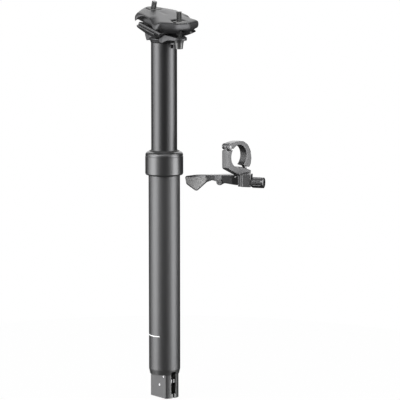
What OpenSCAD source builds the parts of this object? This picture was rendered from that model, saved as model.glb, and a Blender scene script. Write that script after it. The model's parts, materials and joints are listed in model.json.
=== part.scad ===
// Dropper seatpost with its handlebar remote.
// Frame: +X towards the front of the bicycle, +Y to its left, +Z up the post.
// The origin is on the post axis at the underside of the seal collar.

/* [Post tubes] */
// Outside diameter of the outer tube, which the frame's seat tube holds
post_d = 30.9; // [30.4:0.1:31.6]
// Wall of the outer tube
post_wall = 1.6; // [1.5:0.1:1.9]
// Wall of the bushings that fill the gap between the outer tube and the stanchion
bushing_wall = 1.15; // [1:0.05:1.3]
// Wall of the stanchion
stanchion_wall = 1.3; // [1.2:0.1:1.5]
// How far the saddle drops
travel = 100; // [75:5:125]
// Stanchion still inside the outer tube at full height
overlap = 80; // [76:1:100]
// Room under the stanchion at full drop
foot_room = 13; // [13:1:20]
// Stanchion left showing above the collar at full drop
drop_room = 6.4; // [5:0.2:12]

/* [Seal collar] */
// How far the seal collar stands out beyond the outer tube
collar_step = 3.15; // [2.9:0.05:4.5]
// Height of the seal collar
collar_h = 23.4; // [22:0.2:28]

/* [Saddle clamp] */
// Nose-down angle of the saddle rails when the post stands upright
rail_tilt = 14.5; // [13:0.5:15]
// Distance between the two saddle rails
rail_spacing = 44; // [43:0.5:45]
// Diameter of a saddle rail
rail_d = 7; // [6.8:0.1:7.2]
// Distance between the two barrel nuts
bolt_spacing = 42; // [41.6:0.1:42.4]
// Thread diameter of the clamp bolts
bolt_d = 5; // [4.8:0.1:5.2]
// Length of the cradle's grip on a rail
rail_grip = 35; // [33:0.5:36]
// Radius of the round seat between the head and the cradle
seat_r = 20; // [19.8:0.1:20.2]

/* [Actuator] */
// Width of the actuator housing between its flats
housing_w = 16.2; // [15:0.2:17]
// Height of the actuator housing below its shoulder
housing_h = 23.5; // [23:0.5:26]
// Thickness of the cam
cam_t = 5; // [4.6:0.1:5.2]

/* [Remote] */
// Diameter of the handlebar that the remote clamps on
bar_d = 22.2; // [22:0.1:22.4]
// Width of the clamp along the handlebar
clamp_w = 8.6; // [8:0.2:9]
// Length of the lever from its pivot to its tip
lever_len = 57.5; // [55:0.5:60]
// Diameter of the cable adjuster
adjuster_d = 10.6; // [10:0.2:11]

/* [Hidden] */
$fn = 64;
fit = 0.05;      // running clearance on a radius
seat_fit = 0.03; // clearance where two pieces of one body seat together
gap = 0.3;       // clearance between pieces that face each other

// Post stations along Z
post_r = post_d / 2;
bore_r = post_r - post_wall;
slider_r = bore_r - bushing_wall;
slider_bore_r = slider_r - stanchion_wall;
collar_r = post_r + collar_step;
tube_top = 9;                                  // the tube's threaded end inside the collar
thread_r = post_r - 0.3;
wiper_h = 6.8;
wiper_r = slider_r + 2.2;                      // bore in the collar that holds the wiper
tube_foot = -(overlap + travel + foot_room);
slider_foot = -overlap;
neck_z = collar_h + travel + drop_room;        // where the head meets the stanchion
key_at = (slider_r + bore_r) / 2;               // the keys bridge the gap between the tubes
key_r = (bore_r - slider_r) / 2 + 0.73;
key_foot = slider_foot + 18;
key_len = 12;
bushing_len = 12;
upper_bushing_len = 22;

// Saddle clamp frame: its centre lies midway between the two barrel nuts
clamp_x = 3.4;
clamp_z = neck_z + 5.7 + seat_r;
nut_g = bolt_spacing / 2;
nut_r = 4.2;
nut_top = 1.5;                                 // flat on a barrel nut above its axis
nut_len = 13;
front_nut_x = clamp_x + nut_g * cos(rail_tilt);
front_nut_z = clamp_z - nut_g * sin(rail_tilt);
front_ear_z = neck_z + 3.5;                    // underside of the head's front ear
front_seat = front_nut_z - front_ear_z;        // from the front nut down to its ear
rear_seat = seat_r - 0.35;                      // from the rear nut down to its ear
bolt_r = bolt_d / 2;
bolt_play = 0.15;                              // gap between a washer and its ear
washer_h = 2.1;
bolt_head_h = 6;
bolt_head_r = 4.3;
shank_len = 30.2;
ear_half = 7.6;
neck_r = slider_r + 1.8;
head_half = neck_r - 3;
cradle_half = neck_r + 0.4;                    // the cradle's arms begin here, outside the neck
rail_h = -9.9;                                 // rail centre below the clamp centre
cradle_top = rail_h - 0.6;
cradle_h = 9.1;
cradle_cut = 7;                                // how far the cradle's rear corners are cut back
yoke_foot = rail_h + 0.5;
rail_y = rail_spacing / 2;
groove_r = rail_d / 2 + fit;
wing = rail_y + 4.1;                           // half width of the cradle and the yoke
yoke_end = nut_g + 7;                          // the yoke's ends beyond the clamp centre
yoke_top = 1.7;

// Gas spring stations
cyl_r = 9.5;
cyl_bore_r = 8;
rod_r = 4;
valve_r = 1.3;
cyl_foot = slider_foot + 4;
gland_h = 10;
piston_z = cyl_foot + gland_h + 3;             // foot of the piston at full height
piston_h = 10;
cap_h = 10;
cap_flange = 3;
spigot_len = 14;
cyl_top = neck_z - spigot_len - cap_flange;
ifp_z = piston_z + 113;
ifp_h = 12;
spigot_top = tube_foot + 9;                    // top of the actuator's plug in the tube
nut_h = 4.5;

// Actuator stations
shoulder_h = 5;
housing_top = tube_foot - shoulder_h;
housing_foot = housing_top - housing_h;
housing_r = 14.4;
slot_w = cam_t + 0.6;
slot_top = housing_top + 3;
slot_foot = housing_foot + 4.4;
cam_x = 2.4;
cam_z = housing_top - 10.7;
cam_pin_r = 1.25;
stop_x = 8.6;
stop_z = housing_top - 1.6;
stop_pin_r = 1;
nose_r = 1.6;
nose_up = 1.4;
valve_gap = 0.08;
valve_foot = cam_z + nose_up + nose_r + valve_gap;

// Remote frames: the clamp's centre and turn, and the lever's pivot and turn
remote_pos = [43.6, 54.8, 18.4];
bar_turn = 9;
body_turn = 36.5;
pivot_y = 8.8;
pivot_z = -25.8;
bar_r = bar_d / 2;
half_w = clamp_w / 2;
hub_r = 5.4;
hub_top = 4.2;
hub_foot = -3.6;
pivot_r = 2;
cable_y = -6.2;                                // the cable runs beside the pivot
adj_r = adjuster_d / 2;
stop_x0 = 5.9;
stop_x1 = 11.6;
adj_x1 = 24.3;
anchor_x = -21;
hinge_y = -bar_r - 1.5;
hinge_z = bar_r - 0.7;
hinge_pin_r = 1.5;
knuckle_r = 3.3;
strap_bolt_r = 2;
strap_bolt_at = [0, bar_r + 1.7, -bar_r - 1.8];
strap_bolt_lean = 20;

// Colours
black = "#2b2b2d";
dark = "#1d1d1f";
steel = "#8b8d90";
brass = "#b08d4a";
rubber = "#171717";

// A corner of a polygon rounded with radius r: the arc that touches both its sides
function rounded_corner(a, b, c, r, n) =
    let (u = (a - b) / norm(a - b), v = (c - b) / norm(c - b),
         half = acos(u * v) / 2, back = r / tan(half), centre = b + (u + v) / norm(u + v) * r / sin(half),
         p = b + u * back - centre, q = b + v * back - centre,
         a0 = atan2(p[1], p[0]), turn = atan2(p[0] * q[1] - p[1] * q[0], p * q))
    r <= 0 ? [b] : [for (i = [0:n]) centre + r * [cos(a0 + turn * i / n), sin(a0 + turn * i / n)]];

// A closed outline whose corners [x, y, r] are rounded
function rounded(pts, n = 4) =
    let (k = len(pts), p = [for (q = pts) [q[0], q[1]]])
    [for (i = [0:k - 1]) each rounded_corner(p[(i + k - 1) % k], p[i], p[(i + 1) % k], pts[i][2], n)];

module ring(r_out, r_in, z0, z1) {
    translate([0, 0, z0]) difference() {
        cylinder(r = r_out, h = z1 - z0);
        translate([0, 0, -1]) cylinder(r = r_in, h = z1 - z0 + 2);
    }
}

// A cylinder along Y, centred on y = 0
module cross_pin(r, len) {
    rotate([90, 0, 0]) cylinder(r = r, h = len, center = true);
}

// A prism whose outline lies in the XZ plane, centred on y = 0
module side_prism(points, width) {
    rotate([90, 0, 0]) linear_extrude(height = width, center = true) polygon(points);
}

// A prism whose outline lies in the YZ plane, centred on x = 0
module front_prism(points, width) {
    rotate([90, 0, 90]) linear_extrude(height = width, center = true) polygon(points);
}

module key_places() {
    for (a = [90:120:330]) rotate([0, 0, a]) translate([key_at, 0, 0]) children();
}

module at_clamp() {
    translate([clamp_x, 0, clamp_z]) rotate([0, rail_tilt, 0]) children();
}

module at_bar() {
    translate(remote_pos) rotate([0, 0, bar_turn]) children();
}

module at_pivot() {
    at_bar() translate([0, pivot_y, pivot_z]) rotate([0, 0, body_turn - bar_turn]) children();
}

module at_front_nut() {
    translate([front_nut_x, 0, front_nut_z]) children();
}

module at_rear_nut() {
    at_clamp() translate([-nut_g, 0, 0]) children();
}

module at_strap_bolt() {
    at_bar() translate(strap_bolt_at) rotate([strap_bolt_lean, 0, 0]) children();
}

// Lower post
module outer_tube() {
    color(black) difference() {
        union() {
            ring(post_r, bore_r, tube_foot, 0);
            ring(thread_r, bore_r, tube_foot, tube_top);
        }
        key_places() translate([0, 0, tube_foot - 1])
            cylinder(r = key_r + fit, h = key_foot + key_len + 3 - tube_foot, $fn = 24);
        translate([0, 0, 2.2]) cylinder(r = bore_r + 0.6, h = 1.4);
    }
}

module seal_collar() {
    color(black) rotate_extrude() polygon([
        [thread_r + seat_fit, seat_fit], [collar_r - 1.6, seat_fit], [collar_r - 0.5, 0.5], [collar_r, 1.7],
        [collar_r, collar_h - 4.8], [collar_r - 0.35, collar_h - 4.6], [collar_r - 0.35, collar_h - 4.3],
        [collar_r - 0.15, collar_h - 4.1], [collar_r - 0.3, collar_h - 2.8], [collar_r - 0.9, collar_h - 1.6],
        [collar_r - 2, collar_h - 0.6], [collar_r - 3.4, collar_h],
        [wiper_r, collar_h], [wiper_r, collar_h - wiper_h - 0.1], [slider_r + 0.9, collar_h - wiper_h - 0.1],
        [slider_r + 0.9, tube_top + 0.2],
        [thread_r + seat_fit, tube_top + 0.2]
    ]);
}

module wiper_seal() {
    color(rubber) translate([0, 0, collar_h]) rotate_extrude() polygon([
        [slider_r + fit, -wiper_h], [wiper_r - seat_fit, -wiper_h], [wiper_r - seat_fit, -0.2],
        [slider_r + 1, 0.8], [slider_r + fit, 1.2], [slider_r + fit, 0], [slider_r + 0.7, -0.8],
        [slider_r + 0.7, 1.6 - wiper_h], [slider_r + fit, 0.8 - wiper_h]
    ]);
}

module upper_bushing() {
    color(brass) ring(bore_r - seat_fit, slider_r + fit, 2 - upper_bushing_len, 2);
}

module bushing_snap_ring() {
    color(steel) difference() {
        ring(bore_r + 0.5, slider_r + 0.35, 2.3, 3.5);
        translate([0, -2, 0]) cube([20, 4, 6]);
    }
}

module actuator_housing() {
    color(dark) difference() {
        union() {
            translate([0, 0, tube_foot - 1]) cylinder(r = bore_r - seat_fit, h = spigot_top - tube_foot + 1);
            translate([0, 0, housing_top]) cylinder(r1 = housing_r, r2 = post_r, h = shoulder_h - seat_fit);
            intersection() {
                translate([0, 0, housing_foot]) cylinder(r = housing_r, h = housing_h + 0.5);
                translate([-20, -housing_w / 2, housing_foot]) cube([40, housing_w, housing_h + 0.5]);
            }
        }
        translate([0, 0, spigot_top - 4.2]) difference() {
            cylinder(r = post_r + 1, h = 1.8);
            translate([0, 0, -1]) cylinder(r = bore_r - 1.85, h = 4);
        }
        translate([0, 0, tube_foot]) cylinder(r = rod_r + seat_fit, h = 20);
        translate([0, 0, slot_top - 1]) cylinder(r = valve_r + 0.15, h = 20, $fn = 32);
        translate([-5.2, -slot_w / 2, slot_foot]) cube([25, slot_w, slot_top - slot_foot]);
        translate([4, -1, housing_foot - 1]) cube([16, 2, 8]);
        translate([cam_x, 0, cam_z]) cross_pin(cam_pin_r + seat_fit, 40, $fn = 32);
        translate([stop_x, 0, stop_z]) cross_pin(stop_pin_r + seat_fit, 40, $fn = 32);
    }
}

module foot_o_ring() {
    color(rubber) rotate_extrude() translate([bore_r - 0.92, spigot_top - 3.3]) circle(r = 0.82, $fn = 24);
}

module cam_pivot_pin() {
    color(steel) translate([cam_x, 0, cam_z]) cross_pin(cam_pin_r, housing_w + 0.3, $fn = 32);
}

module cam_stop_pin() {
    color(steel) translate([stop_x, 0, stop_z]) cross_pin(stop_pin_r, housing_w + 0.3, $fn = 32);
}

module piston_rod() {
    color(steel) ring(rod_r, valve_r + fit, tube_foot + seat_fit, piston_z + piston_h + 2);
}

module rod_nut() {
    color(steel) translate([0, 0, spigot_top + seat_fit]) difference() {
        cylinder(r = 6.4, h = nut_h, $fn = 6);
        translate([0, 0, -1]) cylinder(r = rod_r + seat_fit, h = nut_h + 2);
    }
}

module gas_piston() {
    color(brass) difference() {
        ring(cyl_bore_r - 0.1, rod_r + seat_fit, piston_z, piston_z + piston_h);
        ring(cyl_bore_r + 1, 6.4, piston_z + 3.5, piston_z + 6.5);
    }
}

module piston_seal() {
    color(rubber) ring(cyl_bore_r - fit, 6.4 + seat_fit, piston_z + 3.6, piston_z + 6.4);
}

module actuator_cam() {
    color(steel) translate([cam_x, 0, cam_z]) difference() {
        union() {
            translate([-cam_x, 0, nose_up]) cross_pin(nose_r, cam_t, $fn = 32);
            side_prism(rounded([
                [-cam_x - 1.5, nose_up - 0.8, 0.6], [-cam_x - 0.6, nose_up + 0.9, 0.5], [-0.6, nose_up + 0.9, 0.5],
                [0.6, 3.6, 1], [4.2, 7.9, 1.3], [6.4, 7.9, 1],
                [10.6, 5.6, 1.2], [10.4, 2, 1.2], [3.4, -1.6, 1.5], [0.6, -4.2, 1.5], [-2.6, -2.6, 1.5]
            ], 5), cam_t);
        }
        cross_pin(cam_pin_r + fit, 20, $fn = 32);
        translate([5.4, -1, -2]) cube([8, 2, 12]);
        translate([8, 0, 4]) cross_pin(1.7, 20, $fn = 24);
    }
}

module valve_push_rod() {
    color(steel) translate([0, 0, valve_foot])
        cylinder(r = valve_r, h = piston_z + piston_h + 4 - valve_foot, $fn = 32);
}

// Upper post
module stanchion() {
    color(black) difference() {
        ring(slider_r, slider_bore_r, slider_foot, neck_z);
        key_places() translate([0, 0, key_foot - 0.1]) cylinder(r = key_r + seat_fit, h = key_len + 0.2, $fn = 24);
        ring(slider_r + 1, slider_r - 0.5, slider_foot + 1.6, slider_foot + 3);
        translate([slider_bore_r - 2, -1.5, neck_z - 5]) cube([8, 3, 3.8]);
    }
}

module post_head() {
    color(black) difference() {
        union() {
            translate([0, 0, neck_z - spigot_len + seat_fit])
                cylinder(r = slider_bore_r - seat_fit, h = spigot_len + 1);
            translate([0, 0, neck_z + seat_fit]) cylinder(r1 = slider_r + 0.1, r2 = neck_r, h = 4);
            translate([0, 0, neck_z + 3.9]) cylinder(r1 = neck_r, r2 = neck_r - 0.8, h = 1.1);
            intersection() {
                translate([0, 0, neck_z + 3.9]) cylinder(r = neck_r, h = 14);
                translate([-20, -head_half, neck_z]) cube([40, 2 * head_half, 20]);
            }
            front_ear();
            rear_ear();
        }
        translate([clamp_x, 0, clamp_z]) cross_pin(seat_r + fit, 80, $fn = 128);
        translate([0, 0, neck_z - spigot_len - 1]) cylinder(r = 8.4, h = spigot_len + 3);
        translate([front_nut_x, 0, front_ear_z - 10]) cylinder(r = bolt_r + 0.9, h = 30, $fn = 32);
        at_rear_nut() translate([0, 0, -rear_seat - 10]) cylinder(r = bolt_r + 0.6, h = 30, $fn = 32);
    }
}

module front_ear() {
    intersection() {
        side_prism([
            [8, neck_z + 1], [13, neck_z + 1], [18.2, front_ear_z], [40, front_ear_z],
            [40, front_ear_z + 0.2], [17, front_ear_z + 5.2], [8, front_ear_z + 9]
        ], 40);
        translate([0, 0, neck_z]) linear_extrude(height = 20) union() {
            translate([front_nut_x, 0]) circle(r = ear_half);
            polygon([[8, -12], [13, -12], [front_nut_x, -ear_half], [front_nut_x, ear_half], [13, 12], [8, 12]]);
        }
    }
}

module rear_ear() {
    at_clamp() intersection() {
        side_prism([
            [-32, -12.9], [-32, -rear_seat], [-nut_g + 5, -rear_seat], [-9.3, -27.2], [-4, -24], [-8, -12.9]
        ], 40);
        translate([0, 0, -30]) linear_extrude(height = 20) union() {
            translate([-nut_g, 0]) circle(r = ear_half);
            polygon([[-nut_g, -ear_half], [-13, -12], [-4, -12], [-4, 12], [-13, 12], [-nut_g, ear_half]]);
        }
    }
}

module lower_bushing() {
    color(brass) ring(bore_r - fit, slider_r + seat_fit, slider_foot + 3.2, slider_foot + 3.2 + bushing_len);
}

module anti_rotation_key(turn) {
    color(brass) rotate([0, 0, turn]) translate([key_at, 0, key_foot]) cylinder(r = key_r, h = key_len, $fn = 24);
}

module left_key() {
    anti_rotation_key(90);
}

module rear_key() {
    anti_rotation_key(210);
}

module front_key() {
    anti_rotation_key(330);
}

module stanchion_snap_ring() {
    color(steel) difference() {
        ring(slider_r + 0.7, slider_r - 0.5 + seat_fit, slider_foot + 1.7, slider_foot + 2.9);
        translate([0, -2, slider_foot]) cube([20, 4, 6]);
    }
}

module gas_cylinder() {
    color(steel) ring(cyl_r, cyl_bore_r, cyl_foot, cyl_top);
}

module cylinder_gland() {
    color(steel) difference() {
        union() {
            ring(cyl_bore_r - seat_fit, rod_r + fit, cyl_foot - 1, cyl_foot + gland_h);
            ring(cyl_r, rod_r + fit, cyl_foot - 2, cyl_foot - seat_fit);
        }
        translate([0, 0, cyl_foot + 3]) cylinder(r = 6.2, h = 3);
    }
}

module rod_seal() {
    color(rubber) ring(6.2 - seat_fit, rod_r + fit, cyl_foot + 3.1, cyl_foot + 5.9);
}

module cylinder_cap() {
    color(steel) union() {
        translate([0, 0, cyl_top - cap_h]) cylinder(r = cyl_bore_r - seat_fit, h = cap_h + 1);
        translate([0, 0, cyl_top + seat_fit]) cylinder(r = slider_bore_r - seat_fit, h = cap_flange - seat_fit);
    }
}

module floating_piston() {
    color(brass) translate([0, 0, ifp_z]) difference() {
        cylinder(r = cyl_bore_r - 0.1, h = ifp_h);
        ring(cyl_bore_r + 1, 6.4, 4.5, 7.5);
        translate([0, 0, 4]) cylinder(r = 5, h = ifp_h);
    }
}

module floating_piston_seal() {
    color(rubber) ring(cyl_bore_r - fit, 6.4 + seat_fit, ifp_z + 4.6, ifp_z + 7.4);
}

// Saddle clamp
module rail_grooves() {
    for (s = [-1, 1]) translate([-50, s * rail_y, rail_h]) rotate([0, 90, 0]) cylinder(r = groove_r, h = 100);
}

module cradle_section(width) {
    front_prism([
        [-wing, cradle_top], [wing, cradle_top], [wing - 0.5, cradle_top - 1.7],
        [cradle_half + 0.3, cradle_top - cradle_h], [-cradle_half - 0.3, cradle_top - cradle_h],
        [-wing + 0.5, cradle_top - 1.7]
    ], width);
}

module lower_cradle() {
    color(black) at_clamp() difference() {
        intersection() {
            cradle_section(rail_grip + 2);
            translate([0, 0, -1.5 * seat_r]) linear_extrude(height = 1.5 * seat_r) polygon([
                [-rail_grip / 2, cradle_cut - wing], [cradle_cut - rail_grip / 2, -wing], [rail_grip / 2, -wing],
                [rail_grip / 2, wing], [cradle_cut - rail_grip / 2, wing], [-rail_grip / 2, wing - cradle_cut]
            ]);
            union() {
                cross_pin(seat_r, 2 * wing + 8, $fn = 128);
                for (s = [-1, 1]) translate([0, s * (cradle_half + 10), 0]) cross_pin(seat_r + 0.8, 20, $fn = 128);
            }
        }
        rail_grooves();
    }
}

module yoke_layer(points, z, h) {
    translate([0, 0, z]) linear_extrude(height = h) polygon(rounded(points, 5));
}

module upper_yoke() {
    color(black) at_clamp() difference() {
        hull() {
            yoke_layer([
                [-yoke_end, -2.6, 2.2], [-yoke_end, 2.6, 2.2], [20.3, wing - 1.9, 3], [yoke_end - 1.5, 8, 8],
                [yoke_end - 1.5, -8, 8], [20.3, 1.9 - wing, 3]
            ], yoke_top - 0.5, 0.5);
            yoke_layer([
                [-yoke_end - 0.3, -6, 4], [-yoke_end - 0.3, 6, 4], [-15.3, wing - 2.3, 6], [5, wing - 0.6, 8],
                [21, wing - 0.7, 4], [yoke_end, 8, 8], [yoke_end, -8, 8], [21, 0.7 - wing, 4],
                [5, 0.6 - wing, 8], [-15.3, 2.3 - wing, 6]
            ], 0, 0.6);
            yoke_layer([
                [-yoke_end - 0.5, -8, 5], [-yoke_end - 0.5, 8, 5], [-17.4, wing - 0.5, 5], [21.6, wing - 0.1, 4],
                [yoke_end + 0.8, 8, 8], [yoke_end + 0.8, -8, 8], [21.6, 0.1 - wing, 4], [-17.4, 0.5 - wing, 5]
            ], -4.6, 0.6);
            yoke_layer([
                [0.5 - yoke_end, -8, 5], [0.5 - yoke_end, 8, 5], [-17.4, wing, 5], [19.6, wing - 0.3, 4],
                [yoke_end - 2.2, 8, 8], [yoke_end - 2.2, -8, 8], [19.6, 0.3 - wing, 4], [-17.4, -wing, 5]
            ], yoke_foot, 0.8);
        }
        rail_grooves();
        for (s = [-1, 1]) translate([0, s * (rail_y + 4), 0]) side_prism(rounded([
            [-13.6, yoke_foot - 1, 0], [-12.4, -5.5, 2], [-7, -1.6, 3], [-1, -0.3, 3], [5.5, -0.5, 3],
            [10.5, -5, 4], [15.6, yoke_foot - 1, 0]
        ], 4), 14);
        for (s = [-1, 1]) scale([1, s, 1]) hull() {
            for (q = [[2.5, 15, yoke_top], [23, 25.4, yoke_top], [16, 27, -4.2], [4, 27, 1.2]])
                translate(q) linear_extrude(height = 6) polygon([[0, 0], [0.1, 0], [0, 0.1]]);
        }
        for (s = [-1, 1]) translate([s * nut_g, 0, 0]) {
            cross_pin(nut_r + fit, nut_len + 0.6);
            side_prism([[-nut_r - fit, 0], [nut_r + fit, 0], [nut_r + 2.4, 5], [-nut_r - 2.4, 5]], nut_len + 0.6);
            side_prism([[-3.4, 0], [3.4, 0], [s > 0 ? 7.8 : 4.8, -12], [s > 0 ? -2.6 : -4.8, -12]], 6.6);
        }
        translate([-9.5, 0, 1.2]) linear_extrude(height = 2) polygon(rounded([
            [-1, -1.8, 1.7], [9, -1.8, 1.7], [9, 1.8, 1.7], [-1, 1.8, 1.7]], 6));
    }
}

module barrel_nut() {
    difference() {
        cross_pin(nut_r, nut_len);
        translate([-10, -10, nut_top]) cube(20);
        children();
    }
}

module front_barrel_nut() {
    color(steel) at_front_nut() barrel_nut() {
        translate([0, 0, -10]) cylinder(r = bolt_r + fit, h = 20, $fn = 32);
    }
}

module rear_barrel_nut() {
    color(steel) at_rear_nut() barrel_nut() {
        translate([0, 0, -10]) cylinder(r = bolt_r + fit, h = 20, $fn = 32);
    }
}

module clamp_bolt(seat) {
    translate([0, 0, -seat - bolt_play - washer_h]) difference() {
        union() {
            cylinder(r = bolt_r, h = shank_len, $fn = 32);
            translate([0, 0, -bolt_head_h]) cylinder(r1 = bolt_head_r - 0.7, r2 = bolt_head_r, h = bolt_head_h);
        }
        translate([0, 0, -bolt_head_h - 1]) cylinder(r = 2.3, h = 4.4, $fn = 6);
    }
}

module bolt_washer(seat) {
    translate([0, 0, -seat - bolt_play - washer_h + seat_fit]) difference() {
        cylinder(r1 = bolt_head_r + 0.1, r2 = bolt_head_r + 0.6, h = washer_h - seat_fit);
        translate([0, 0, -1]) cylinder(r = bolt_r + seat_fit, h = washer_h + 2, $fn = 32);
    }
}

module front_clamp_bolt() {
    color(dark) at_front_nut() clamp_bolt(front_seat);
}

module front_bolt_washer() {
    color(steel) at_front_nut() bolt_washer(front_seat);
}

module rear_clamp_bolt() {
    color(dark) at_rear_nut() clamp_bolt(rear_seat);
}

module rear_bolt_washer() {
    color(steel) at_rear_nut() bolt_washer(rear_seat);
}

// Remote
// A corner of the remote's clamp, t outside the handlebar, with its rounding
function rim(angle, t, r = 0) = [(bar_r + t) * cos(angle), (bar_r + t) * sin(angle), r];

module remote_bracket() {
    color(black) difference() {
        union() {
            at_bar() front_prism(rounded([
                [-bar_r - 4.3, 6.9, 0.6], [-bar_r - 4.3, -11.3, 2.5], [6, pivot_z + hub_top + gap, 1.5],
                [bar_r + 5.5, pivot_z + hub_top + gap, 1.4], rim(-40.6, 12.9, 1), rim(-55.4, 3.7), rim(-90, -1.5),
                rim(180, -2.5), [-bar_r + 3, 6.9, 0]
            ]), clamp_w);
            at_bar() front_prism([[-15.6, 11], [-15.4, 5], [-10.5, 5], [-10.2, 9]], clamp_w / 2 - 0.3);
            at_bar() translate([0, hinge_y, hinge_z]) rotate([0, 90, 0])
                cylinder(r = knuckle_r, h = clamp_w / 2 - 0.3, center = true, $fn = 48);
            at_pivot() translate([0, 0, hub_top + gap]) cylinder(r = 5.9, h = 4.2);
            at_pivot() cable_stop();
        }
        at_bar() translate([-20, 0, 0]) rotate([0, 90, 0]) cylinder(r = bar_r + seat_fit, h = 40, $fn = 96);
        at_bar() translate([-20, hinge_y, hinge_z]) rotate([0, 90, 0])
            cylinder(r = hinge_pin_r + seat_fit, h = 40, $fn = 32);
        at_pivot() translate([0, 0, -10]) cylinder(r = pivot_r + seat_fit, h = 30, $fn = 32);
        at_pivot() translate([stop_x0 - seat_fit, cable_y, 0]) rotate([0, 90, 0])
            cylinder(r = 2.5 + seat_fit, h = 20, $fn = 32);
        at_pivot() translate([-5, cable_y, 0]) rotate([0, 90, 0]) cylinder(r = 1.2, h = 20, $fn = 24);
        at_strap_bolt() translate([0, 0, -12]) cylinder(r = strap_bolt_r + 0.4, h = 20, $fn = 32);
        at_strap_bolt() translate([0, 0, -16]) cylinder(r = 3.7, h = 11.8, $fn = 48);
    }
}

// The arm that stops the cable and holds its adjuster, in the lever's frame
module cable_stop() {
    translate([0, 0, -4.4]) linear_extrude(height = hub_top + gap + 8.2) polygon([
        [-1.6, -6.1], [-1.6, cable_y - 2.8], [1.4, cable_y - 2.8], [3.4, cable_y - 4.6],
        [stop_x1 - 1, cable_y - 4.6], [stop_x1, cable_y - 3.8], [stop_x1, cable_y + 4.6],
        [6.2, cable_y + 5.2], [5.4, -3.3], [3.2, -5.5]
    ]);
    translate([0, 0, hub_top + gap]) linear_extrude(height = 3.7) polygon([
        [-3.6, -4.4], [stop_x1, cable_y - 3.8], [stop_x1, cable_y + 4.6], [4.4, 4]
    ]);
}

module clamp_strap() {
    color(black) difference() {
        union() {
            at_bar() front_prism(rounded([
                [hinge_y, hinge_z + knuckle_r - 0.2, 0], rim(112.5, 4.6, 4), rim(90, 3.8, 5), rim(63.9, 4.8, 6),
                rim(38.8, 5.8, 6), rim(13, 6.7, 8), rim(-10.7, 7.8, 5), rim(-26.2, 8.6, 3), rim(-37.8, 8.6, 0.8),
                rim(-54.6, 0.3), [0, 0, 0], rim(134.3, 0.4), [-9.7, hinge_z - 0.6, 0], [hinge_y, hinge_z, 0]
            ]), clamp_w);
            for (s = [-1, 1]) at_bar() translate([s * (half_w / 2 + half_w / 4 + 0.04), hinge_y, hinge_z])
                rotate([0, 90, 0]) cylinder(r = knuckle_r, h = half_w / 2 - 0.08, center = true, $fn = 48);
        }
        at_bar() translate([-20, 0, 0]) rotate([0, 90, 0]) cylinder(r = bar_r + seat_fit, h = 40, $fn = 96);
        at_bar() translate([0, hinge_y, hinge_z]) rotate([0, 90, 0])
            cylinder(r = knuckle_r + gap, h = clamp_w / 2, center = true, $fn = 48);
        at_bar() translate([-20, hinge_y, hinge_z]) rotate([0, 90, 0])
            cylinder(r = hinge_pin_r + seat_fit, h = 40, $fn = 32);
        at_strap_bolt() translate([0, 0, -2]) cylinder(r = strap_bolt_r + seat_fit, h = 7, $fn = 32);
    }
}

module strap_hinge_pin() {
    color(steel) at_bar() translate([-half_w, hinge_y, hinge_z]) rotate([0, 90, 0])
        cylinder(r = hinge_pin_r, h = clamp_w, $fn = 32);
}

module strap_bolt() {
    color(dark) at_strap_bolt() difference() {
        union() {
            translate([0, 0, -4.5]) cylinder(r = strap_bolt_r, h = 9.1, $fn = 32);
            translate([0, 0, -4.25 - 3.4]) cylinder(r = 3.3, h = 3.4, $fn = 48);
        }
        translate([0, 0, -9]) cylinder(r = 1.7, h = 3.4, $fn = 6);
    }
}

module lever_pivot_screw() {
    color(steel) at_pivot() difference() {
        union() {
            translate([0, 0, hub_foot + 1]) cylinder(r = pivot_r, h = hub_top - hub_foot + 3.2, $fn = 32);
            translate([0, 0, hub_foot - 0.6]) cylinder(r = 3.4, h = 1.9, $fn = 48);
        }
        translate([0, 0, hub_foot - 1]) cylinder(r = 1.5, h = 1.8, $fn = 6);
    }
}

module lever_bushing() {
    color(brass) at_pivot() ring(3, pivot_r + seat_fit, hub_foot + 1.35, hub_top + gap - seat_fit);
}

module remote_lever() {
    color(black) at_pivot() difference() {
        union() {
            translate([0, 0, hub_foot]) cylinder(r = hub_r, h = hub_top - hub_foot);
            intersection() {
                side_prism(rounded([
                    [-lever_len, 3.1, 1.5], [-0.965 * lever_len, -4.6, 2.5], [-0.775 * lever_len, -11.2, 2.5],
                    [-0.61 * lever_len, -2.2, 4], [-0.51 * lever_len, 0.3, 3], [anchor_x - 3.4, -0.8, 2],
                    [anchor_x - 0.2, -4.8, 1.6], [anchor_x + 5, -1.9, 2], [-4, -3.5, 1],
                    [-2, -3.5, 0.5], [-2, 4.1, 0.5], [-6.4, 4.1, 0.4], [-7, 6.6, 1.5], [-12, 6.7, 3],
                    [-0.5 * lever_len, 5.6, 8], [-0.8 * lever_len, 4.8, 6]
                ], 5), 30);
                union() {
                    translate([0, 0, -14]) linear_extrude(height = 26) polygon(rounded([
                        [-2, -5.4, 0], [-2, 3.6, 0], [-10, 3.2, 3], [-0.45 * lever_len, 2.2, 8],
                        [-0.62 * lever_len, 1.9, 0], [-0.62 * lever_len, -3.4, 0],
                        [-0.45 * lever_len, -4.4, 8], [-19, -6.4, 3], [-8, -6.6, 3]
                    ], 4));
                    translate([-0.6 * lever_len - 15, 0, 0])
                        front_prism([[-0.9, 6], [1.9, 6], [-4.2, -13], [-6.6, -13]], 30);
                }
            }
        }
        translate([0, 0, -10]) cylinder(r = 3 + fit, h = 20, $fn = 48);
        translate([0, 0, hub_foot - 1]) cylinder(r = 3.4 + fit, h = 2.35, $fn = 48);
        translate([anchor_x, 0, -1]) cross_pin(1.5 + seat_fit, 40, $fn = 24);
        translate([anchor_x, cable_y, -1]) rotate([90, 0, 0]) cylinder(r = 3, h = 10, $fn = 48);
    }
}

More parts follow.
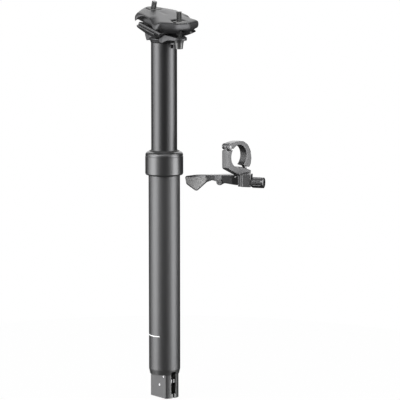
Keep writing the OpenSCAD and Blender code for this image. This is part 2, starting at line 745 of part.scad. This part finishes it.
module cable_anchor_screw() {
    color(steel) at_pivot() translate([anchor_x, 0, -1]) rotate([90, 0, 0]) difference() {
        union() {
            translate([0, 0, -2.2]) cylinder(r = 1.5, h = -cable_y + 3, $fn = 24);
            translate([0, 0, -cable_y + seat_fit]) cylinder(r = 2.7, h = 1.6, $fn = 48);
        }
        translate([0, 0, -cable_y + 0.8]) cylinder(r = 1.3, h = 2, $fn = 6);
    }
}

module adjuster_stem() {
    color(steel) at_pivot() translate([stop_x0, cable_y, 0]) rotate([0, 90, 0])
        ring(2.5, 0.9, 0, stop_x1 - stop_x0 + 8);
}

module cable_adjuster() {
    color(black) at_pivot() translate([stop_x1 + gap, cable_y, 0]) rotate([0, 90, 0]) difference() {
        union() {
            cylinder(r1 = adj_r - 0.9, r2 = adj_r, h = 1.2);
            translate([0, 0, 1.2]) cylinder(r = adj_r, h = adj_x1 - stop_x1 - gap - 1.8);
            translate([0, 0, adj_x1 - stop_x1 - gap - 0.6]) cylinder(r1 = adj_r, r2 = adj_r - 0.6, h = 0.6);
        }
        translate([0, 0, -1]) cylinder(r = 2.5 + fit, h = 9.6, $fn = 48);
        translate([0, 0, 8]) cylinder(r = 1.2, h = 8, $fn = 32);
        translate([0, 0, adj_x1 - stop_x1 - gap - 3]) cylinder(r = 2.6, h = 4, $fn = 48);
        for (a = [0:36:324]) rotate([0, 0, a]) translate([adj_r + 0.35, 0, 1.6])
            cylinder(r = 0.9, h = adj_x1 - stop_x1 - gap - 4.4, $fn = 16);
    }
}

outer_tube();
seal_collar();
wiper_seal();
upper_bushing();
bushing_snap_ring();
actuator_housing();
foot_o_ring();
cam_pivot_pin();
cam_stop_pin();
piston_rod();
rod_nut();
gas_piston();
piston_seal();
actuator_cam();
valve_push_rod();
stanchion();
post_head();
lower_bushing();
left_key();
rear_key();
front_key();
stanchion_snap_ring();
gas_cylinder();
cylinder_gland();
rod_seal();
cylinder_cap();
floating_piston();
floating_piston_seal();
lower_cradle();
upper_yoke();
front_barrel_nut();
rear_barrel_nut();
front_clamp_bolt();
front_bolt_washer();
rear_clamp_bolt();
rear_bolt_washer();
remote_bracket();
clamp_strap();
strap_hinge_pin();
strap_bolt();
lever_pivot_screw();
lever_bushing();
remote_lever();
cable_anchor_screw();
adjuster_stem();
cable_adjuster();
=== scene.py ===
import json
import math

import bpy
from mathutils import Matrix, Vector


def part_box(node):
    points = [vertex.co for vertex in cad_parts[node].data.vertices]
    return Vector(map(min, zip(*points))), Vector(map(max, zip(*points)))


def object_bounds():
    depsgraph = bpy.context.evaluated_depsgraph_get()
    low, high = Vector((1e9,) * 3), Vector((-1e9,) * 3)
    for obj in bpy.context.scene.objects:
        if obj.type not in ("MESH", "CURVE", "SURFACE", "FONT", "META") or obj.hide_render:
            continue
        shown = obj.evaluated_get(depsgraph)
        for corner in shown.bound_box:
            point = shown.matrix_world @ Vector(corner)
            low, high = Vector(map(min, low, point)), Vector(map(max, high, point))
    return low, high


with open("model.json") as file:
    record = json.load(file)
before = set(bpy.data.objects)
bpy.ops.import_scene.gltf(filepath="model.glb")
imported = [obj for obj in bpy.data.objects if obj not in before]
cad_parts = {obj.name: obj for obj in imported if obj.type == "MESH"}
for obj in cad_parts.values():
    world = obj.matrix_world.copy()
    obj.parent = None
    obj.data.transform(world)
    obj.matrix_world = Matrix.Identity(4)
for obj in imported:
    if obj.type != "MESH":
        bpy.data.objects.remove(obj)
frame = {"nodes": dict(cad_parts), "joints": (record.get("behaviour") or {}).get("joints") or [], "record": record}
cad_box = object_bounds()
nodes = frame["nodes"]
joints = {joint["name"]: joint for joint in frame["joints"]}
scene = bpy.context.scene
scene.view_settings.view_transform = "Standard"

MM = 0.001

# The photograph's camera, front right of the post and a little above it; its lens is in millimetres
AZIMUTH = math.radians(51.5)
RIGHT = Vector((math.cos(AZIMUTH), math.sin(AZIMUTH), 0))
TOWARD = Vector((math.sin(AZIMUTH), -math.cos(AZIMUTH), 0))
PITCH = math.radians(8.6)
DISTANCE = 2.6
SIDEWAYS = 0.035
LEVEL = 0.368
LENS = 241.29

# How far above the horizon the bright patch of backdrop stands, behind the object
PATCH_ELEVATION = math.radians(32)

# Name, bearing, height, distance, width and height, power, height it is aimed at
LIGHTS = [
    ("left_soft", -69, 0.35, 1.6, (1.15, 2.3), 39, 0.35),
    ("left_outer", -101, 0.35, 1.6, (0.62, 2.0), 8, 0.35),
    ("left_inner", -39, 0.35, 1.6, (0.5, 2.0), 2, 0.35),
    ("right_soft", 73, 0.35, 1.6, (1.1, 2.3), 41, 0.35),
    ("right_inner", 41, 0.35, 1.6, (0.5, 2.0), 3, 0.35),
    ("upper_left", -37, 0.8, 1.4, (1.0, 0.55), 13, 0),
    ("top_soft", 10, 1.8, 0.9, (1.2, 1.2), 12, 0.1),
]
FLOOR_RADIUS = 0.42
FLOOR_SIDES = 64

# Finishes, by the record's material slot or by a name of their own: colour, roughness, metal, grain
FINISHES = {
    "forging_black": ((0.115, 0.115, 0.117), 0.4, 0.85, (2200, 0.000012, 0.05)),
    "collar_black": ((0.11, 0.11, 0.112), 0.34, 0.9, (3000, 0.000003, 0.03)),
    "housing_grey": ((0.155, 0.155, 0.157), 0.42, 0.9, (2200, 0.000006, 0.04)),
    "bolt_black": ((0.16, 0.16, 0.16), 0.35, 0.9, (1500, 0.000008, 0.06)),
    "steel": ((0.35, 0.35, 0.355), 0.32, 1.0, (1500, 0.000004, 0.05)),
    "nut_silver": ((0.09, 0.09, 0.09), 0.48, 0.9, (1500, 0.000004, 0.05)),
    "bearing_brass": ((0.62, 0.45, 0.2), 0.35, 0.9, (1500, 0.000004, 0.05)),
    "inner_aluminium": ((0.6, 0.6, 0.61), 0.35, 0.9, (1500, 0.000004, 0.05)),
    "seal_rubber": ((0.02, 0.02, 0.02), 0.6, 0.0, (3000, 0.00001, 0.05)),
    "stanchion_black": ((0.085, 0.085, 0.087), 0.36, 0.95, (4000, 0.000002, 0.02)),
    "outer_tube_black": ((0.11, 0.11, 0.112), 0.44, 0.9, (3000, 0.000003, 0.03)),
    "remote_black": ((0.12, 0.12, 0.122), 0.36, 0.85, (2200, 0.000001, 0.02)),
    "lever_black": ((0.085, 0.085, 0.087), 0.3, 0.85, (2200, 0.000001, 0.02)),
    "head_black": ((0.07, 0.07, 0.072), 0.42, 0.85, (2200, 0.000012, 0.05)),
    "yoke_black": ((0.066, 0.066, 0.068), 0.44, 0.85, (2200, 0.000008, 0.04)),
    "pin_steel": ((0.6, 0.6, 0.61), 0.25, 1.0, (1500, 0.000002, 0.03)),
    "cam_steel": ((0.28, 0.28, 0.285), 0.4, 1.0, (1500, 0.000004, 0.05)),
    "front_clamp_bolt_steel": ((0.11, 0.11, 0.11), 0.4, 0.9, None),
    "rear_clamp_bolt_steel": ((0.11, 0.11, 0.11), 0.4, 0.9, None),
}

# Pieces with a finish of their own; every other piece takes its slot's
OWN = {
    "stanchion": "stanchion_black",
    "outer_tube": "outer_tube_black",
    "remote_bracket": "remote_black",
    "clamp_strap": "remote_black",
    "remote_lever": "lever_black",
    "post_head": "head_black",
    "upper_yoke": "yoke_black",
    "cam_pivot_pin": "pin_steel",
    "cam_stop_pin": "pin_steel",
    "actuator_cam": "cam_steel",
    "front_clamp_bolt": "front_clamp_bolt_steel",
    "rear_clamp_bolt": "rear_clamp_bolt_steel",
}

# The insertion line: its height above the tube's foot, its width, and how far right of the axis it begins
LINE_UP = 34 * MM
LINE_WIDTH = 0.9 * MM
LINE_RIGHT = 12.96 * MM
LINE_WHITE = (0.85, 0.85, 0.85)

# The thumb grip's edges: the turn of the way inward, up from the lever's own, in degrees; a point on the
# edge, along the lever and up from its pivot, in mm; how soft the edge is, in mm
GRIP_EDGES = [
    (0, (-56.4, 0), 0.6),
    (180, (-33, 0), 4),
    (-90, (0, 2.6), 0.6),
    (58.8, (-55.5, -3.4), 0.5),
    (133.2, (-36.4, -2.2), 0.5),
]
# The grip's grey: partly its own tone, partly a painted highlight standing in for the paddle's reflection
GRIP_AND_HIGHLIGHT_GREY = (0.37, 0.37, 0.37)
DIMPLE_DEPTH = 0.3 * MM

# The clamp bolts' threads, and where each begins along its bolt, measured from the origin
THREAD_PITCH = 0.8 * MM
THREAD_DEPTH = 0.2 * MM
THREAD_START = {"front": 133.3 * MM, "rear": 131.8 * MM}

# Painted shade: near black for the shade deep inside the stanchion's small window
SHADE_BLACK = (0.004, 0.004, 0.004)


def add_camera():
    """The photograph's own view."""
    data = bpy.data.cameras.new("photo_camera")
    data.lens = LENS
    data.sensor_width = 36
    data.clip_start = 0.1
    data.clip_end = 20
    camera = bpy.data.objects.new("photo_camera", data)
    scene.collection.objects.link(camera)
    forward = -TOWARD * math.cos(PITCH) - Vector((0, 0, math.sin(PITCH)))
    up = RIGHT.cross(forward)
    place = TOWARD * DISTANCE + RIGHT * SIDEWAYS + Vector((0, 0, LEVEL))
    turn = Matrix((RIGHT, up, -forward)).transposed()
    camera.matrix_world = Matrix.Translation(place) @ turn.to_4x4()
    scene.camera = camera


def add_light(name, bearing, height, distance, size, power, aim_height):
    """An area light at a bearing from the camera's direction, in degrees, positive to the right."""
    a = math.radians(bearing)
    place = (TOWARD * math.cos(a) + RIGHT * math.sin(a)) * distance + Vector((0, 0, height))
    data = bpy.data.lights.new(name, "AREA")
    data.shape = "RECTANGLE"
    data.size, data.size_y = size
    data.energy = power
    light = bpy.data.objects.new(name, data)
    scene.collection.objects.link(light)
    light.location = place
    light.rotation_euler = (Vector((0, 0, aim_height)) - place).to_track_quat("-Z", "Y").to_euler()


def add_world():
    """White for the camera, faint as light; in the gloss bright high behind the object and dark elsewhere."""
    world = bpy.data.worlds.new("studio")
    world.use_nodes = True
    scene.world = world
    tree = world.node_tree
    tree.nodes.clear()
    out = tree.nodes.new("ShaderNodeOutputWorld")
    path = tree.nodes.new("ShaderNodeLightPath")
    way = tree.nodes.new("ShaderNodeTexCoord")
    patch = -TOWARD * math.cos(PATCH_ELEVATION) + Vector((0, 0, math.sin(PATCH_ELEVATION)))
    toward_patch = tree.nodes.new("ShaderNodeVectorMath")
    toward_patch.operation = "DOT_PRODUCT"
    toward_patch.inputs[1].default_value = patch
    cone = tree.nodes.new("ShaderNodeMapRange")
    cone.interpolation_type = "SMOOTHSTEP"
    cone.inputs["From Min"].default_value = 0.8
    cone.inputs["From Max"].default_value = 0.95
    cone.inputs["To Min"].default_value = 0.02
    cone.inputs["To Max"].default_value = 2.2
    glossy = tree.nodes.new("ShaderNodeMix")
    glossy.inputs["A"].default_value = 0.3
    clear = tree.nodes.new("ShaderNodeMath")
    clear.operation = "MAXIMUM"
    seen = tree.nodes.new("ShaderNodeMix")
    seen.inputs["B"].default_value = 1
    back = tree.nodes.new("ShaderNodeBackground")
    back.inputs["Color"].default_value = (1, 1, 1, 1)
    tree.links.new(way.outputs["Generated"], toward_patch.inputs[0])
    tree.links.new(toward_patch.outputs["Value"], cone.inputs["Value"])
    tree.links.new(path.outputs["Is Glossy Ray"], clear.inputs[0])
    tree.links.new(path.outputs["Is Transmission Ray"], clear.inputs[1])
    tree.links.new(clear.outputs[0], glossy.inputs["Factor"])
    tree.links.new(cone.outputs[0], glossy.inputs["B"])
    tree.links.new(path.outputs["Is Camera Ray"], seen.inputs["Factor"])
    tree.links.new(glossy.outputs["Result"], seen.inputs["A"])
    tree.links.new(seen.outputs["Result"], back.inputs["Strength"])
    tree.links.new(back.outputs[0], out.inputs["Surface"])


def add_floor(z):
    """A plain pale floor, as bright as the backdrop, that keeps a faint shadow."""
    mesh = bpy.data.meshes.new("floor")
    turns = [a * math.tau / FLOOR_SIDES for a in range(FLOOR_SIDES)]
    rim = [(FLOOR_RADIUS * math.cos(a), FLOOR_RADIUS * math.sin(a), z) for a in turns]
    mesh.from_pydata(rim, [], [tuple(range(FLOOR_SIDES))])
    floor = bpy.data.objects.new("floor", mesh)
    scene.collection.objects.link(floor)
    m = bpy.data.materials.new("floor_pale")
    m.use_nodes = True
    tree = m.node_tree
    bsdf = tree.nodes["Principled BSDF"]
    bsdf.inputs["Base Color"].default_value = (0.6, 0.6, 0.6, 1)
    bsdf.inputs["Roughness"].default_value = 0.9
    glow = tree.nodes.new("ShaderNodeEmission")
    glow.inputs["Color"].default_value = (1, 1, 1, 1)
    path = tree.nodes.new("ShaderNodeLightPath")
    share = tree.nodes.new("ShaderNodeMath")
    share.operation = "MULTIPLY"
    share.inputs[1].default_value = 0.97
    mix = tree.nodes.new("ShaderNodeMixShader")
    tree.links.new(path.outputs["Is Camera Ray"], share.inputs[0])
    tree.links.new(share.outputs[0], mix.inputs[0])
    tree.links.new(bsdf.outputs[0], mix.inputs[1])
    tree.links.new(glow.outputs[0], mix.inputs[2])
    tree.links.new(mix.outputs[0], tree.nodes["Material Output"].inputs["Surface"])
    mesh.materials.append(m)
    floor.visible_glossy = False


def material(name, color, rough, metallic, grain):
    """Principled material. grain = (scale, bump height in m, roughness swing), or None."""
    m = bpy.data.materials.new(name)
    m.use_nodes = True
    tree = m.node_tree
    bsdf = tree.nodes["Principled BSDF"]
    bsdf.inputs["Base Color"].default_value = (*color, 1)
    bsdf.inputs["Roughness"].default_value = rough
    bsdf.inputs["Metallic"].default_value = metallic
    if grain:
        scale, height, swing = grain
        place = tree.nodes.new("ShaderNodeTexCoord")
        noise = tree.nodes.new("ShaderNodeTexNoise")
        noise.inputs["Scale"].default_value = scale
        noise.inputs["Detail"].default_value = 4
        tree.links.new(place.outputs["Object"], noise.inputs["Vector"])
        bump = tree.nodes.new("ShaderNodeBump")
        bump.inputs["Distance"].default_value = height
        bump.inputs["Strength"].default_value = 1
        tree.links.new(noise.outputs["Fac"], bump.inputs["Height"])
        tree.links.new(bump.outputs[0], bsdf.inputs["Normal"])
        span = tree.nodes.new("ShaderNodeMapRange")
        span.inputs["To Min"].default_value = rough - swing
        span.inputs["To Max"].default_value = rough + swing
        tree.links.new(noise.outputs["Fac"], span.inputs["Value"])
        tree.links.new(span.outputs[0], bsdf.inputs["Roughness"])
    return m


def math_node(tree, operation, *values):
    """A math node fed with sockets or numbers; returns its output."""
    node = tree.nodes.new("ShaderNodeMath")
    node.operation = operation
    for i, value in enumerate(values):
        if isinstance(value, (int, float)):
            node.inputs[i].default_value = value
        else:
            tree.links.new(value, node.inputs[i])
    return node.outputs[0]


def position(tree):
    """The object's own x, y and z as three sockets."""
    place = tree.nodes.new("ShaderNodeTexCoord")
    split = tree.nodes.new("ShaderNodeSeparateXYZ")
    tree.links.new(place.outputs["Object"], split.inputs[0])
    return split.outputs


def along(tree, origin, direction):
    """How far the surface point lies from the origin along a direction, as a socket."""
    place = tree.nodes.new("ShaderNodeTexCoord")
    dot = tree.nodes.new("ShaderNodeVectorMath")
    dot.operation = "DOT_PRODUCT"
    dot.inputs[1].default_value = direction
    tree.links.new(place.outputs["Object"], dot.inputs[0])
    return math_node(tree, "SUBTRACT", dot.outputs["Value"], Vector(origin).dot(Vector(direction)))


def slope(tree, value, start, end):
    """0 before start and 1 after end, smooth between."""
    ramp = tree.nodes.new("ShaderNodeMapRange")
    ramp.interpolation_type = "SMOOTHSTEP"
    ramp.inputs["From Min"].default_value = start
    ramp.inputs["From Max"].default_value = end
    tree.links.new(value, ramp.inputs["Value"])
    return ramp.outputs[0]


def painted(m, mask, color, rough):
    """Lay paint over a material where the mask, a socket, is 1."""
    tree = m.node_tree
    bsdf = tree.nodes["Principled BSDF"]
    paint = tree.nodes.new("ShaderNodeBsdfPrincipled")
    paint.name = "paint"
    paint.inputs["Base Color"].default_value = (*color, 1)
    paint.inputs["Roughness"].default_value = rough
    mix = tree.nodes.new("ShaderNodeMixShader")
    tree.links.new(mask, mix.inputs[0])
    tree.links.new(bsdf.outputs[0], mix.inputs[1])
    tree.links.new(paint.outputs[0], mix.inputs[2])
    tree.links.new(mix.outputs[0], tree.nodes["Material Output"].inputs["Surface"])


def threaded(m, axis, start):
    """Turn a material's bump into a screw thread along the axis, from the start onward."""
    tree = m.node_tree
    height = along(tree, (0, 0, 0), axis)
    turns = math_node(tree, "MULTIPLY", height, math.tau / THREAD_PITCH)
    ridge = math_node(tree, "SINE", turns)
    on_shank = math_node(tree, "GREATER_THAN", height, start)
    bump = tree.nodes.new("ShaderNodeBump")
    bump.inputs["Distance"].default_value = THREAD_DEPTH
    tree.links.new(math_node(tree, "MULTIPLY", ridge, on_shank), bump.inputs["Height"])
    tree.links.new(bump.outputs[0], tree.nodes["Principled BSDF"].inputs["Normal"])


def thumb_grip(m, pivot, lever):
    """A paler, dimpled grip on the paddle, with the black lever as its border; the paler grey is partly the grip's
    own tone and partly a painted highlight for the light the paddle reflects.
    """
    tree = m.node_tree
    up = Vector((0, 0, 1))
    mask = 1
    for degrees, (far, high), soft in GRIP_EDGES:
        turn = math.radians(degrees)
        origin = pivot + (lever * far + up * high) * MM
        inward = lever * math.cos(turn) + up * math.sin(turn)
        inside = slope(tree, along(tree, origin, inward), 0, soft * MM)
        mask = math_node(tree, "MULTIPLY", inside, mask)
    painted(m, mask, GRIP_AND_HIGHLIGHT_GREY, 0.5)
    place = tree.nodes.new("ShaderNodeTexCoord")
    dots = tree.nodes.new("ShaderNodeTexVoronoi")
    dots.inputs["Scale"].default_value = 550
    dots.inputs["Randomness"].default_value = 0.2
    bump = tree.nodes.new("ShaderNodeBump")
    bump.inputs["Distance"].default_value = DIMPLE_DEPTH
    tree.links.new(place.outputs["Object"], dots.inputs["Vector"])
    tree.links.new(slope(tree, dots.outputs["Distance"], 0.2, 0.5), bump.inputs["Height"])
    tree.links.new(bump.outputs[0], tree.nodes["paint"].inputs["Normal"])


def insertion_line(m, foot):
    """A white printed line across the tube's right side: how far the post may stand out of the frame."""
    tree = m.node_tree
    xyz = position(tree)
    level = math_node(tree, "COMPARE", xyz[2], foot + LINE_UP, LINE_WIDTH / 2)
    side = math_node(tree, "LESS_THAN", xyz[1], -LINE_RIGHT)
    painted(m, math_node(tree, "MULTIPLY", level, side), LINE_WHITE, 0.5)


def below_neck(m, z):
    """Painted shade: near black on what lies inside the stanchion, seen only through its small window, standing
    for the shade deep in that recess.
    """
    hidden = math_node(m.node_tree, "LESS_THAN", position(m.node_tree)[2], z)
    painted(m, hidden, SHADE_BLACK, 0.9)


def forge(name, voxel, rounds):
    """Round a forged piece's edges: a fine even mesh over the solid, then smoothed."""
    piece = nodes[name]
    remesh = piece.modifiers.new("even", "REMESH")
    remesh.mode = "VOXEL"
    remesh.voxel_size = voxel
    remesh.use_smooth_shade = True
    smooth = piece.modifiers.new("soften", "SMOOTH")
    smooth.factor = 0.5
    smooth.iterations = rounds


MATERIALS = {
    name: material(name, color, rough, metallic, grain)
    for name, (color, rough, metallic, grain) in FINISHES.items()
}
insertion_line(MATERIALS["outer_tube_black"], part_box("outer_tube")[0][2])
# Painted shade on the head below its neck, seen only through the stanchion's small window
below_neck(MATERIALS["head_black"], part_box("stanchion")[1][2] - 0.1 * MM)
# The lever lies along the cable adjuster's axis
lever_pivot = Vector(joints["lever_swing"]["pos_m"])
thumb_grip(MATERIALS["lever_black"], lever_pivot, Vector(joints["adjuster_spin"]["axis"]))
for end, start in THREAD_START.items():
    threaded(MATERIALS[end + "_clamp_bolt_steel"], joints[end + "_bolt_screw"]["axis"], start)

for part in frame["record"]["subparts"]:
    mesh = nodes[part["node"]].data
    mesh.materials.clear()
    mesh.materials.append(MATERIALS[OWN.get(part["node"], part["material_slot"])])

forge("upper_yoke", 0.7 * MM, 70)
forge("lower_cradle", 0.4 * MM, 6)
forge("post_head", 0.3 * MM, 8)
forge("remote_bracket", 0.22 * MM, 24)
forge("clamp_strap", 0.22 * MM, 24)
forge("remote_lever", 0.3 * MM, 20)

add_camera()
add_world()
add_floor(cad_box[0][2] - MM)
for light in LIGHTS:
    add_light(*light)
